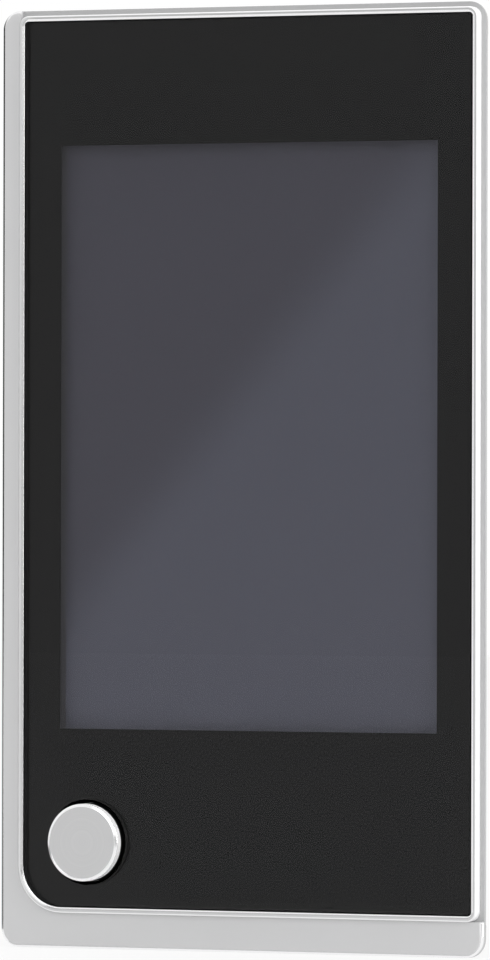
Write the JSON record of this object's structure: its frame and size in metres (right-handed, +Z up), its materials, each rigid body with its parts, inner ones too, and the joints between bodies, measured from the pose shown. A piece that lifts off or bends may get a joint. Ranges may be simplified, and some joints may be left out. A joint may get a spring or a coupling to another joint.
{
  "type": "peephole door camera",
  "caption": "Door viewer with an indoor screen that hangs on a steel bracket, a threaded clamping sleeve through the door and a small outside camera, to see who is there.",
  "frame": {"origin": "on the peephole axis, in the plane of the door's inner face", "axes": "+Z up, +Y through the door to the street, +X to the right of a person facing the screen"},
  "size_m": [0.0656, 0.0625, 0.1168],
  "materials": {
    "satin_silver": "satin silver paint",
    "bright_trim": "polished",
    "clear_panel": "clear, polished",
    "black_film": "black print",
    "foam": "soft foam",
    "screen_glass": "dark screen, off",
    "tray_metal": "bright sheet",
    "amber_film": "flexible film",
    "cream_plastic": "moulded",
    "circuit_board": "solder mask",
    "black_plastic": "moulded",
    "screw_steel": "zinc plated",
    "spun_metal": "spun face with bright bevel",
    "charcoal_plastic": "fine spark texture",
    "cell_jacket": "plain foil jacket",
    "spring_metal": "nickel plated",
    "bracket_steel": "zinc plated sheet",
    "nickel": "nickel plated",
    "chrome_brass": "chrome plated",
    "gasket_rubber": "soft moulded",
    "lens_glass": "coated",
    "filter_glass": "tinted",
    "sensor_chip": "glossy chip"
  },
  "bodies": {
    "bracket": {"mounting_bracket": "bracket_steel"},
    "sleeve": {"clamp_sleeve": "nickel"},
    "camera": {"threaded_barrel": "chrome_brass", "camera_bezel": "chrome_brass", "door_gasket": "gasket_rubber", "lens_holder": "black_plastic", "front_lens": "lens_glass", "rear_lens": "lens_glass", "lens_ring": "black_plastic", "ir_filter": "filter_glass", "image_sensor": "sensor_chip", "sensor_board": "circuit_board", "camera_socket": "cream_plastic"},
    "monitor": {"front_frame": "satin_silver", "trim_ring": "bright_trim", "front_panel": "clear_panel", "window_film": "black_film", "screen_gasket": "foam", "lcd_glass": "screen_glass", "backlight": "tray_metal", "lcd_flex": "amber_film", "lcd_socket": "cream_plastic", "main_board": "circuit_board", "board_pads": "foam", "board_chips": "black_plastic", "board_screws": "screw_steel", "cable_socket": "cream_plastic", "button_board": "circuit_board", "tact_switch": "black_plastic", "rear_cover": "charcoal_plastic", "case_screws": "screw_steel", "battery_cells": "cell_jacket", "battery_springs": "spring_metal", "battery_contacts": "spring_metal"},
    "view_button": {"button_cap": "spun_metal", "switch_plunger": "cream_plastic"},
    "battery_lid": {"battery_cover": "charcoal_plastic"}
  },
  "joints": [
    {"name": "sleeve_turn", "type": "hinge", "parent": "bracket", "child": "sleeve", "pos_m": [0, 0, 0], "axis": [0, -1, 0], "range_deg": [0, 2880]},
    {"name": "camera_travel", "type": "slide", "parent": "bracket", "child": "camera", "axis": [0, 1, 0], "range_m": [0, 0.012]},
    {"name": "monitor_lift", "type": "slide", "parent": "bracket", "child": "monitor", "axis": [0, 0, 1], "range_m": [0, 0.006]},
    {"name": "button_press", "type": "slide", "parent": "monitor", "child": "view_button", "axis": [0, 1, 0], "range_m": [0, 0.0005], "stiffness_N_per_m": 1500},
    {"name": "lid_slide", "type": "slide", "parent": "monitor", "child": "battery_lid", "axis": [0, 0, -1], "range_m": [0, 0.044]}
  ],
  "couplings": [
    {"joint": "sleeve_turn", "follows": "camera_travel", "rad_per_m": 4188.8}
  ]
}
